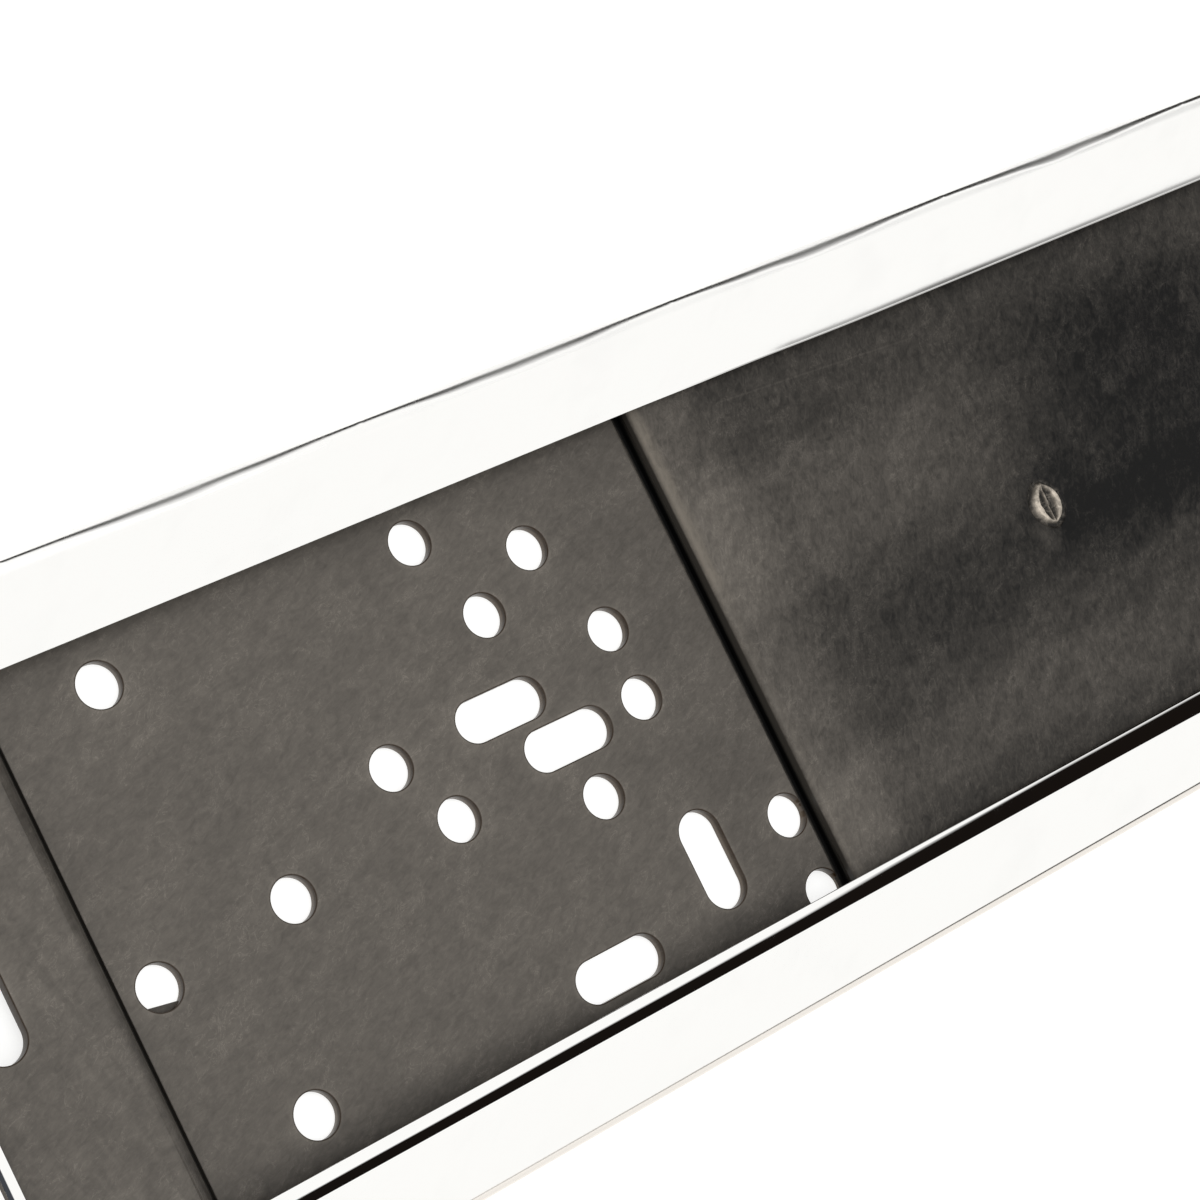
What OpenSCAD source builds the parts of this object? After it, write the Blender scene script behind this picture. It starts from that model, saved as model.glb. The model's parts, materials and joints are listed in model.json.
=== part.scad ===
// Number plate holder: a moulded backing plate with a pressed, polished surround clipped over its rim.
// It lies on its back. X runs along it, Y towards its upper edge and Z out of its face,
// and the origin is the middle of the back.

/* [Surround] */
// Length of the window that the number plate shows through
window_l = 505; // [480:1:520]
// Width of the window
window_w = 97; // [94:0.5:100]
// Radius of the window's corners
window_r = 4; // [3:0.5:8]
// Width of each rail, seen from the front
rail_w = 17.2; // [16:0.1:20]
// Radius of the surround's outer corners
corner_r = 12; // [10:0.5:16]
// Radius of the bend between the face and the skirt
edge_r = 2.2; // [2:0.1:3.5]
// Thickness of the pressed sheet
sheet_t = 0.8; // [0.6:0.1:1]
// Height of the surround's face over the back
face_z = 9.7; // [9:0.1:12]
// Height of the skirt's lower edge over the back
skirt_z = 0.8; // [0.4:0.1:2]

/* [Lip] */
// Width of the hollow bevel between the window's edge and the face
bevel_w = 3.4; // [2:0.1:4]
// Slope of the bevel at the window's edge, in degrees
bevel_low = 2; // [0:1:20]
// Slope of the bevel where it meets the face, in degrees
bevel_high = 46; // [40:1:55]

/* [Clips] */
// Distance between clips along each long side
clip_pitch = 73; // [60:1:76]
// Clips on each long side
clip_count = 7; // [3:2:7]
// Shift of the upper side's clips from the middle
upper_shift = 8; // [-10:1:10]
// Shift of the lower side's clips from the middle
lower_shift = -32; // [-32:1:10]
// Length of a clip's nose
clip_l = 4; // [3:0.5:6]
// Height of a clip's nose
clip_h = 1.5; // [1:0.1:2]
// Height of the clip windows' lower edge over the back
clip_z = 5.6; // [4:0.1:5.8]
// Play round a clip's nose in its window
clip_play = 0.15; // [0.1:0.05:0.3]

/* [Backing plate] */
// Thickness of the moulding's walls and panels
panel_t = 2.4; // [2:0.1:3]
// Height of the raised panels over the back
raised_z = 5.4; // [5:0.1:6]
// Radius of the middle panel's upper edges
middle_r = 1.2; // [0.8:0.1:2.5]
// Radius of the end panels' upper edges
end_r = 2.6; // [1:0.1:2.7]
// Length of the raised panel in the middle
middle_l = 165; // [150:1:170]
// Length of each recessed panel with the screw holes
hole_panel_l = 137.8; // [136:0.1:139]
// Width of the grooves beside the middle panel
middle_groove_w = 1.7; // [1:0.1:2]
// Width of the grooves beside the end panels
end_groove_w = 1.1; // [0.8:0.1:1.5]
// Thickness left under the grooves
groove_floor = 0.9; // [0.6:0.1:1.2]
// Gap between the moulding's rim and the inside of the skirt
rim_gap = 0.2; // [0.1:0.05:0.3]
// Thickness of the rim
rim_t = 2; // [1.5:0.1:2.5]

/* [Number plate] */
// Room for the plate along its length
plate_l = 521; // [520:0.5:522]
// Room for the plate across its width
plate_w = 113; // [112:0.5:114]
// Play between the raised panels' outer edges and the stops round the plate
seat_gap = 0.5; // [0.3:0.1:1]
// Distance between the stops along the rim
stop_pitch = 36.5; // [30:0.5:50]

/* [Screw holes] */
// Diameter of the round holes
hole_d = 8.3; // [7:0.1:9]
// Width of the slots in the hole panels
slot_w = 8; // [7:0.1:9]
// Length of the slots in the hole panels
slot_l = 19.3; // [15:0.1:20]
// Width of the slot that runs across the holder
cross_slot_w = 8.8; // [7:0.1:9]
// Width of the slots in the end panels
end_slot_w = 8.3; // [7:0.1:9]
// Length of the slots in the end panels
end_slot_l = 21; // [18:0.5:22]

/* [Ribs] */
// Thickness of the ribs behind the raised panels
rib_t = 1.6; // [1.2:0.1:2]
// Cells along the middle panel
cells_l = 6; // [4:2:8]
// Cells across the middle panel
cells_w = 5; // [3:2:7]
// Cells across each end panel
end_cells_w = 3; // [1:2:5]

/* [Hidden] */
$fn = 64;
// How far a cut runs past the face that it opens
past = 1;

outer_l = window_l + 2 * rail_w;
outer_w = window_w + 2 * rail_w;
// The bevel is an arc, hollow upwards, that climbs from one slope to the other
bevel_r = bevel_w / (sin(bevel_high) - sin(bevel_low));
bevel_rise = bevel_r * (cos(bevel_low) - cos(bevel_high));
lip_z = face_z - bevel_rise;

base_l = outer_l - 2 * (sheet_t + rim_gap);
base_w = outer_w - 2 * (sheet_t + rim_gap);
base_r = corner_r - sheet_t - rim_gap;
// The rim ends level with the clips, where the surround's bend begins
rim_z = clip_z + clip_h;
// The surround's face rests on the stops round the plate
rest_z = face_z - sheet_t;
seat_w = plate_w - 2 * seat_gap;
end_panel_x = middle_l / 2 + middle_groove_w + hole_panel_l + end_groove_w;
end_panel_l = plate_l / 2 - seat_gap - end_panel_x;

// Centres of the round holes in the left half; the right half mirrors them
holes = [
    [-88.2, -48.1], [-88.4, -32.5], [-105.8, -1], [-105.8, 13], [-113.8, 32.7],
    [-122.4, -14.2], [-128.2, 24.6], [-135.6, 41.9], [-151.1, -6.5], [-158.8, 6.7],
    [-186.5, -6.4], [-199.8, -40.4], [-201.5, 40.1], [-215.1, -9.8]
];
// Centres of the slots that run along the holder, and of the one that runs across it
long_slots = [[-123.7, -2.1], [-133.8, 7.9], [-135.1, -42.9]];
cross_slot = [-107.4, -33.3];
end_slot = [-244, 0];
// One hole has a web of flash left across its lower side
web_hole = [-215.1, -9.8];
web_offset = 2.8;
web_turn = -10;
web_t = 1;

// The mark left by the moulding's gate: a shallow dish, an almond-shaped moat sunk in it,
// and an almond of torn plastic with a pit along its middle
gate_y = -1;
dish_r = 9.5;
dish_depth = 0.3;
moat_l = 11.4;
moat_w = 8.2;
moat_depth = 0.3;
almond_l = 9.8;
almond_w = 6.6;
almond_h = 0.7;
pit_l = 8;
pit_w = 3;
pit_depth = 0.35;

module rounded_rect(l, w, r) {
    square([l - 2 * r, w], center = true);
    square([l, w - 2 * r], center = true);
    for (x = [-1, 1], y = [-1, 1])
        translate([x * (l / 2 - r), y * (w / 2 - r)]) circle(r);
}

module slot(l, w) {
    square([l - w, w], center = true);
    for (s = [-1, 1]) translate([s * (l - w) / 2, 0]) circle(d = w);
}

// Carries a section round a rounded rectangle. The section's X is measured from the
// corner's centre, so X = r lies on the outline.
module ring_sweep(l, w, r) {
    for (q = [0:3]) rotate(q * 90) {
        run = q % 2 == 0 ? l : w;
        reach = q % 2 == 0 ? w : l;
        translate([r - run / 2, reach / 2 - r, 0])
            rotate([90, 0, 90]) linear_extrude(run - 2 * r) children();
        translate([run / 2 - r, reach / 2 - r, 0])
            rotate_extrude(angle = 90) children();
    }
}

module edge_section() {
    translate([corner_r - edge_r, face_z - edge_r]) intersection() {
        difference() {
            circle(edge_r);
            circle(edge_r - sheet_t);
        }
        square(edge_r);
    }
    translate([corner_r - sheet_t, skirt_z]) square([sheet_t, face_z - edge_r - skirt_z]);
}

module bevel_section() {
    run = bevel_w + sheet_t;
    centre = [window_r - bevel_r * sin(bevel_low), lip_z + bevel_r * cos(bevel_low)];
    difference() {
        translate([window_r, lip_z - 2 * sheet_t]) square([run, face_z - lip_z + 2 * sheet_t]);
        translate(centre) circle(bevel_r);
        difference() {
            square([window_r + run + past, face_z - sheet_t]);
            translate(centre) circle(bevel_r + sheet_t);
        }
    }
}

module face_sheet() {
    inset = bevel_w + sheet_t;
    translate([0, 0, face_z - sheet_t]) linear_extrude(sheet_t) difference() {
        rounded_rect(outer_l - 2 * edge_r, outer_w - 2 * edge_r, corner_r - edge_r);
        rounded_rect(window_l + 2 * inset, window_w + 2 * inset, window_r + inset);
    }
}

// Places its children at each clip, with +Y pointing out through the skirt
module at_clips() {
    for (side = [0, 1], k = [0:clip_count - 1]) {
        shift = side == 0 ? upper_shift : lower_shift;
        x = shift + clip_pitch * (k - (clip_count - 1) / 2);
        mirror([0, side, 0]) translate([x, outer_w / 2, clip_z]) children();
    }
}

module surround() {
    color([0.9, 0.9, 0.9]) difference() {
        union() {
            face_sheet();
            ring_sweep(outer_l, outer_w, corner_r) edge_section();
            ring_sweep(window_l, window_w, window_r) bevel_section();
        }
        at_clips() translate([-clip_l / 2 - clip_play, -2 * sheet_t, -clip_play])
            cube([clip_l + 2 * clip_play, 3 * sheet_t, clip_h + 2 * clip_play]);
    }
}

// A raised panel seen from its end: flat back and two rounded upper edges
module raised_section(l, r) {
    translate([-l / 2, 0]) square([l, raised_z - r]);
    translate([r - l / 2, 0]) square([l - 2 * r, raised_z]);
    for (s = [-1, 1]) translate([s * (l / 2 - r), raised_z - r]) circle(r);
}

module raised_panel(x, l, r) {
    translate([x, 0, 0]) rotate([90, 0, 0])
        linear_extrude(seat_w, center = true) raised_section(l, r);
}

// The hollow behind a raised panel, split into cells by ribs
module cells(x, l, along, across) {
    hollow_l = l - 2 * panel_t;
    hollow_w = seat_w - 2 * panel_t;
    pitch_x = (hollow_l + rib_t) / along;
    pitch_y = (hollow_w + rib_t) / across;
    for (i = [0:along - 1], j = [0:across - 1])
        translate([x - hollow_l / 2 + i * pitch_x, j * pitch_y - hollow_w / 2, -past])
            cube([pitch_x - rib_t, pitch_y - rib_t, raised_z - panel_t + past]);
}

module rim() {
    linear_extrude(rim_z) difference() {
        rounded_rect(base_l, base_w, base_r);
        rounded_rect(base_l - 2 * rim_t, base_w - 2 * rim_t, base_r - rim_t);
    }
}

// Upright ribs between the plate's edges and the rim
module plate_stops() {
    per_side = floor((base_l / 2 - base_r) / stop_pitch);
    for (k = [-per_side:per_side], s = [0, 1])
        mirror([0, s, 0]) translate([k * stop_pitch - rib_t / 2, plate_w / 2, panel_t / 2])
            cube([rib_t, base_w / 2 - rim_t - plate_w / 2, rest_z - panel_t / 2]);
    for (k = [-1:1], s = [0, 1])
        mirror([s, 0, 0]) translate([plate_l / 2, k * stop_pitch - rib_t / 2, panel_t / 2])
            cube([base_l / 2 - rim_t - plate_l / 2, rib_t, rest_z - panel_t / 2]);
}

// A wedge that stands on the rim and ends just inside the skirt's outer face
module clip_nose() {
    root = rim_gap + sheet_t + rim_t / 2;
    tip = clip_play;
    translate([-clip_l / 2, 0, 0]) rotate([90, 0, 90]) linear_extrude(clip_l)
        polygon([[-root, 0], [-tip, 0], [-tip, clip_h / 2], [-rim_gap - sheet_t, clip_h], [-root, clip_h]]);
}

module grooves() {
    for (g = [[middle_l / 2, middle_groove_w], [end_panel_x - end_groove_w, end_groove_w]], s = [0, 1])
        mirror([s, 0, 0]) translate([g[0], -plate_w / 2, groove_floor])
            cube([g[1], plate_w, raised_z]);
}

module screw_holes() {
    deep = raised_z + 2 * past;
    for (s = [0, 1]) mirror([s, 0, 0]) translate([0, 0, -past]) {
        for (c = holes) translate(c) cylinder(d = hole_d, h = deep);
        linear_extrude(deep) {
            for (c = long_slots) translate(c) slot(slot_l, slot_w);
            translate(cross_slot) rotate(90) slot(slot_l, cross_slot_w);
            translate(end_slot) rotate(90) slot(end_slot_l, end_slot_w);
        }
    }
}

module hole_web() {
    translate(web_hole) intersection() {
        cylinder(d = hole_d, h = web_t);
        rotate(web_turn) translate([-hole_d, -web_offset - hole_d, 0]) cube([2 * hole_d, hole_d, web_t]);
    }
}

module almond(l, w, h) {
    // Two equal circles that cross at the almond's points
    r = (l * l + w * w) / (4 * w);
    intersection_for (s = [-1, 1]) translate([s * (r - w / 2), 0, 0]) cylinder(r = r, h = h);
}

module gate_dish() {
    ball_r = (dish_r * dish_r + dish_depth * dish_depth) / (2 * dish_depth);
    translate([0, gate_y, raised_z - dish_depth]) {
        translate([0, 0, ball_r]) sphere(ball_r, $fn = 256);
        translate([0, 0, -moat_depth]) almond(moat_l, moat_w, moat_depth + dish_depth + past);
    }
}

module gate_mark() {
    translate([0, gate_y, raised_z - dish_depth - moat_depth]) difference() {
        almond(almond_l, almond_w, almond_h);
        translate([0, 0, almond_h - pit_depth]) almond(pit_l, pit_w, almond_h);
    }
}

module backing_plate() {
    end_centre = end_panel_x + end_panel_l / 2;
    color([0.13, 0.125, 0.12]) {
        difference() {
            union() {
                linear_extrude(panel_t) rounded_rect(base_l, base_w, base_r);
                raised_panel(0, middle_l, middle_r);
                for (s = [-1, 1]) raised_panel(s * end_centre, end_panel_l, end_r);
                rim();
                plate_stops();
                at_clips() clip_nose();
            }
            cells(0, middle_l, cells_l, cells_w);
            for (s = [-1, 1]) cells(s * end_centre, end_panel_l, 1, end_cells_w);
            grooves();
            screw_holes();
            gate_dish();
        }
        hole_web();
        gate_mark();
    }
}

surround();
backing_plate();
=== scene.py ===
"""The looks of a number plate holder: a polished surround swept round the window, and the black
moulding that it is clipped over, on a pale floor in soft studio light."""
import json
import math

import bmesh
import bpy
import numpy as np
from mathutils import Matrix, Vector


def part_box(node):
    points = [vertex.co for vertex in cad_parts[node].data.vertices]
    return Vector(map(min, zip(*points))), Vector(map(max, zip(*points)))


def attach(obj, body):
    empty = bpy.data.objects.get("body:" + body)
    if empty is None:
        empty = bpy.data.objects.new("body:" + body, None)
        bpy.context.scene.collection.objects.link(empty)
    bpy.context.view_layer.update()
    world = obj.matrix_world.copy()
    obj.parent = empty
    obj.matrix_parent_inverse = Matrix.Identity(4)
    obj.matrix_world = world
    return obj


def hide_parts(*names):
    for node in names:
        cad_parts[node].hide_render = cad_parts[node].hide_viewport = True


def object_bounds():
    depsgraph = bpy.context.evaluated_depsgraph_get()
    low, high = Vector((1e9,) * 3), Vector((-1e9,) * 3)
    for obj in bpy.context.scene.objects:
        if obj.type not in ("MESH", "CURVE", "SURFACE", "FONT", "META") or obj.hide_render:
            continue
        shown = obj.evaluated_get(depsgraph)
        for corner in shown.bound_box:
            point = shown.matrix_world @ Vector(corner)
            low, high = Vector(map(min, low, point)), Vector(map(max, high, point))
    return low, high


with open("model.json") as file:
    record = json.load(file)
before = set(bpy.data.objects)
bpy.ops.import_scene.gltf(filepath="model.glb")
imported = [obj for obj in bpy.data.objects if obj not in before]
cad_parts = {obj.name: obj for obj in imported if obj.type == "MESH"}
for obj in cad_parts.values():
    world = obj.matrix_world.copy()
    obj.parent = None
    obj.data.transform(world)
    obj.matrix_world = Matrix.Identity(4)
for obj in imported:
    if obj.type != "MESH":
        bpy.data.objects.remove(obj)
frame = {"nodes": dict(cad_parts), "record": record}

bl_info = {
    "name": "Number plate holder",
    "version": (1, 0, 0),
    "blender": (4, 5, 0),
    "location": "3D View > Sidebar > Plate holder",
    "description": "Builds the polished surround and the black moulding of a number plate holder",
    "category": "Object",
}

MM = 0.001
CAD_LOW, CAD_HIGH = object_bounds()
OUTER_LOW, OUTER_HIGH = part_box("surround")

# How far a cutter runs past the face that it opens
PAST = 1 * MM
# How much larger a cutter or a block is than the same form in the solid, in millimetres
HOLE_HAIR, BLOCK_HAIR = 0.012, 0.006
# How deep the gate's seat is cut, how far its plug reaches down, and how much wider the plug is
SEAT_DEPTH, PLUG_DEPTH, PLUG_RIM = 1.5 * MM, 1.9 * MM, 0.15 * MM
# Points round a hole's outline
HOLE_POINTS = 64
# Openings that take no screw, in the right half: centre, radius and slot length in millimetres,
# and whether the slot runs across the holder
OTHER_OPENINGS = ((88.2, -48.1, 4.15, 0, False), (215.1, -9.8, 4.15, 0, False),
                  (107.4, -33.3, 4.4, 19.3, True), (244, 0, 4.15, 21, True))
# The centre of the hole that holds a web of flash
WEB_HOLE = (-215.1, -9.8)

# Spans along the rails, in millimetres from the middle, over which something sets in: the upper
# lip's lean, its reach over the window, the crease's growth and the lower lip's lift, which then
# eases. All of it fades out again before the right corners.
LEAN_SPAN, REACH_SPAN, CREASE_SPAN = (-76, -48), (-90, -20), (-60, 110)
LIFT_SPAN, EASE_SPAN, CORNER_SPAN = (-110, -42), (-40, 20), (250, 190)
# The same for the finish of the leaning lip, and the spans across the holder that lead on to
# the upper and the lower rail
FINISH_SPAN, FINISH_END = (-76, -52), (240, 190)
UPPER_SPAN, LOWER_SPAN = (40, 47), (-40, -58)

# The exponent between light and its display tone, the open panels' tone, and what their gloss adds
GAMMA, PANEL_TONE, GLOSS = 2.2, 0.88, 0.097


def Number(name, description, default, unit="NONE", **limits):
    """A number in Blender's own units."""
    return bpy.props.FloatProperty(name=name, description=description, default=default,
                                   unit=unit, **limits)


def Length(name, description, default, least=-1000):
    """A length, stated in millimetres."""
    return Number(name, description, default * MM, "LENGTH", min=least * MM)


def Angle(name, description, degrees):
    return Number(name, description, math.radians(degrees), "ROTATION")


def Share(name, description, default):
    """A number from 0 to 1."""
    return Number(name, description, default, min=0, max=1, subtype="FACTOR")


def Lengths(name, description, default):
    """Two or three lengths, stated in millimetres."""
    return bpy.props.FloatVectorProperty(
        name=name, description=description, default=[value * MM for value in default],
        size=len(default), unit="LENGTH")


def Colour(name, description, default):
    return bpy.props.FloatVectorProperty(name=name, description=description, default=default,
                                         min=0, max=1, subtype="COLOR")


class SurroundSizes(bpy.types.PropertyGroup):
    rail_width: Length("Rail width", "Width of a rail, seen from the front", 17.2, least=10)
    window_corner: Length("Window corner", "Radius of the window's corners", 4, least=2)
    outer_corner: Length("Outer corner", "Radius of the outer corners", 12, least=5)
    sheet: Length("Sheet", "Thickness of the pressed sheet", 0.8, least=0.3)
    bend: Length("Bend", "Radius of the bend between the face and the skirt", 2.1, least=1)
    lower_bend: Length("Lower bend", "Radius of that bend along the lower rail", 1.0, least=0.9)
    upper_bend: Length("Upper bend", "Radius of its upper part at the upper rail's clips",
                       1.1, least=0.9)
    upper_flank: Length("Upper flank", "Radius of its lower part along the upper rail",
                        4.4, least=0.9)
    bend_wave: Length("Bend wave", "How much the upper rail's bend widens between two clips",
                      1.3, least=0)
    bevel_width: Length("Bevel width", "Width of the hollow bevel round the window", 3.4, least=1)
    bevel_low: Angle("Lip slope", "Slope of the bevel at the window's edge", 3.4)
    bevel_lift: Angle("Lip lift", "How much steeper the lower rail's lip gets to the right", 5.0)
    bevel_high: Angle("Crease slope", "Slope of the bevel where it meets the face", 46)
    bevel_wave: Angle("Bevel wave", "How much the bevel's slope rocks along a rail", 0.5)
    lip_width: Length("Lip width", "Width of the shallow strip at the window's edge",
                      2.2, least=0.5)
    soft_low: Angle("Upper lip slope", "Slope of the upper rail's lip, in its right part", -6.8)
    soft_high: Angle("Upper crease slope", "Slope of that rail's crease there", 6.5)
    soft_dip: Angle("Upper lip dip", "How much further it leans in the middle of the rail", 0.9)
    soft_twist: Angle("Upper lip twist", "How much less it leans 100 mm further right", 2.7)
    upper_reach: Length("Upper reach", "How much wider the upper rail is than the others",
                        0.35, least=0)
    upper_bow: Length("Upper bow", "How much more it reaches over the window, right of the middle",
                      0.8, least=0)
    crease: Length("Crease", "Width of the crease between the bevel and the face", 0.42, least=0.1)
    crease_growth: Length("Crease growth", "How much wider the crease gets right of the middle",
                          1.3, least=0)
    crown: Angle("Crown", "Slope of the slightly domed face at either edge", 0.8)
    bead: Length("Bead", "Width of each flank of the fine bead at the face's outer edge",
                 0.25, least=0.05)
    bead_slope: Angle("Bead slope", "Steepest slope of the fine bead's inner flank", 30)
    clip_pitch: Length("Clip pitch", "Distance between two clips along a rail", 73, least=20)
    upper_clip: Length("Upper clip", "Place of the upper rail's middle clip", 8)
    lower_clip: Length("Lower clip", "Place of the lower rail's middle clip", -32)
    clip_play: Length("Clip play", "Play round a clip's nose in its window", 0.15, least=0.05)
    dent: Lengths("Dent", "Width and depth of the small dent over each clip", (0.45, 0.2))


class MouldingSizes(bpy.types.PropertyGroup):
    edge: Length("Edge", "Width of the softened edges", 0.18, least=0.05)
    raised: Length("Raised panels", "Height of the raised panels over the back", 5.4, least=3)
    middle_half: Length("Middle panel", "Half the length of the raised panel in the middle",
                        82.5, least=50)
    middle_edge: Length("Middle edge", "Radius of the middle panel's upper edges", 1.2, least=0.5)
    groove_side: Length("Groove side", "Where the grooves beside the middle panel end",
                        84.2, least=50)
    groove_edge: Length("Groove edge", "Radius of the hole panels' edges at those grooves",
                        0.8, least=0.2)
    end_groove: Length("End grooves", "Width of the grooves beside the end panels", 1.1, least=0.5)
    end_from: Length("End panels from", "Where an end panel begins", 223.1, least=200)
    end_to: Length("End panels to", "Where an end panel ends", 260, least=200)
    end_edge: Length("End edge", "Radius of the end panels' upper edges", 2.6, least=0.5)
    seat_half: Length("Seat", "Half the width of the raised panels, across the holder",
                      56, least=40)
    wall: Length("Wall", "Thickness of the moulding's walls", 2.4, least=1)
    web: Length("Web", "Thickness of the web of flash in one hole", 1, least=0.3)


class GateSizes(bpy.types.PropertyGroup):
    place: Lengths("Place", "Middle of the mark left by the moulding's gate", (0, -1))
    dish: Lengths("Dish", "Radius and depth of the shallow dish round the mark", (9.5, 0.3))
    moat: Lengths("Moat", "Length and width of the almond-shaped moat", (10.9, 9.4))
    almond: Lengths("Almond", "Length and width of the almond of torn plastic", (9.1, 7.6))
    pit: Lengths("Pit", "Length and width of the torn pit along its middle", (8.2, 4.0))


class MetalLook(bpy.types.PropertyGroup):
    sheet: Colour("Colour", "Colour of the polished sheet", (0.872, 0.866, 0.848))
    # Partly the skirt's own satin colour and partly a painted reflection: darkened and tinted
    # cream so that the bright floor it reflects reads cream
    satin_colour: Colour("Satin colour", "Colour of the satin skirt", (0.78, 0.74, 0.69))
    cut_colour: Colour("Cut colour", "Colour of the sheet's dull cut edge along the leaning lip",
                       (0.42, 0.41, 0.4))
    polish: Share("Roughness", "Roughness of the clean polish", 0.035)
    satin: Share("Satin roughness", "Roughness of the skirt and its bend", 0.26)
    smears: Share("Smears", "Roughness that the faint smears add", 0.05)
    scratches: Share("Scratches", "Roughness that the fine scratches add", 0.03)
    bend_haze: Share("Bend haze", "Roughness that the upper rail's bend adds at a clip", 0.2)
    swell_haze: Share("Swell haze", "How much more it adds halfway between two clips", 0.15)
    lip_haze: Share("Lip haze", "Roughness that the upper rail's leaning lip adds", 0.07)


class PlasticLook(bpy.types.PropertyGroup):
    panel: Colour("Panels", "Colour of the scuffed faces", (0.097, 0.0865, 0.0745))
    clean: Colour("Clean", "Colour of the clean plastic in grooves and holes",
                  (0.037, 0.033, 0.028))
    worn: Colour("Worn", "Colour of the worn edges", (0.15, 0.131, 0.108))
    torn: Colour("Torn", "Colour of the torn plastic at the gate", (0.42, 0.37, 0.31))
    hole_wall: Colour("Hole walls", "Colour of the holes' walls", (0.092, 0.07, 0.05))
    # Painted shade: a thin dark line painted round each hole's softened edge
    rim: Colour("Rims", "Colour of the thin dark line round a hole", (0.02, 0.01, 0.003))
    # Painted shade: nearly black, for the shade in the grooves
    groove: Colour("Grooves", "Colour of the shaded grooves", (0.001, 0.001, 0.001))
    roughness: Share("Roughness", "Mean roughness of the moulding", 0.46)


class StageSettings(bpy.types.PropertyGroup):
    camera_place: Lengths("Camera place", "Where the camera stands", (-407.6, -10.8, 474.8))
    camera_turn: bpy.props.FloatVectorProperty(
        name="Camera turn", description="The camera's turn about X, then Y, then Z",
        subtype="EULER", default=[math.radians(a) for a in (18.293, -27.712, -29.882)])
    lens: Number("Lens", "Focal length on a 36 mm sensor", 91.437, "CAMERA")
    floor_radius: Length("Floor radius", "Radius of the floor", 4000)
    floor_gap: Length("Floor gap", "How far the floor lies under the holder's back", 0.1)
    floor_colour: Colour("Floor colour", "Colour of the floor", (0.45, 0.45, 0.447))
    floor_glow: Number("Floor glow", "Light that the floor gives off, as a lit table does", 0.7)
    sky: Number("Sky", "Brightness of the white studio all round", 1.12, min=0)
    flag_from: Angle("Dark side from", "Azimuth at which the dark side of the studio begins", -22)
    flag_to: Angle("Dark side to", "Azimuth at which the dark side of the studio ends", 100)
    flag_peak: Number("Dark side peak", "Azimuth at which it is highest", 0.49, "ROTATION")
    flag_top: Share("Dark side top", "Sine of the elevation that it reaches there", 0.745)
    flag_right: Colour("Dark side, right", "Colour of its right part", (0.055, 0.06, 0.07))
    flag_left: Colour("Dark side, left", "Colour of its left part", (0.008, 0.006, 0.005))
    sky_colour: Colour("Sky colour", "Colour of the white studio", (1.0, 1.0, 0.995))
    lamp: Number("Lamp", "Power of the soft lamp overhead", 8, "POWER")
    lamp_size: Length("Lamp size", "Length of the lamp's sides", 1200)
    lamp_place: Lengths("Lamp place", "Where the lamp hangs", (-300, 100, 2000))


class Socket:
    """One output of a node. Arithmetic on it adds Math nodes to its tree."""

    def __init__(self, nodes, output):
        self.nodes = nodes
        self.output = output

    def math(self, operation, *others):
        return self.nodes.add("Math", {"operation": operation},
                              dict(enumerate((self, *others))))

    def __add__(self, other):
        return self.math("ADD", other)

    def __sub__(self, other):
        return self.math("SUBTRACT", other)

    def __mul__(self, other):
        return self.math("MULTIPLY", other)

    def __truediv__(self, other):
        return self.math("DIVIDE", other)

    def __rsub__(self, other):
        return self.nodes.add("Math", {"operation": "SUBTRACT"}, {0: other, 1: self})

    __radd__ = __add__
    __rmul__ = __mul__

    def __abs__(self):
        return self.math("ABSOLUTE")

    def __pow__(self, other):
        return self.math("POWER", other)

    def smaller(self, other):
        return self.math("MINIMUM", other)

    def larger(self, other):
        return self.math("MAXIMUM", other)

    def fade(self, low, high):
        """0 below low and 1 above high, with a smooth step between. Low may lie above high."""
        return self.nodes.add("MapRange", {"interpolation_type": "SMOOTHSTEP"},
                              {"Value": self, "From Min": low, "From Max": high})

    def band(self, low, high, soft):
        """1 between low and high and 0 outside, with smooth steps as wide as soft."""
        return self.fade(low - soft, low) * self.fade(high + soft, high)


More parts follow.
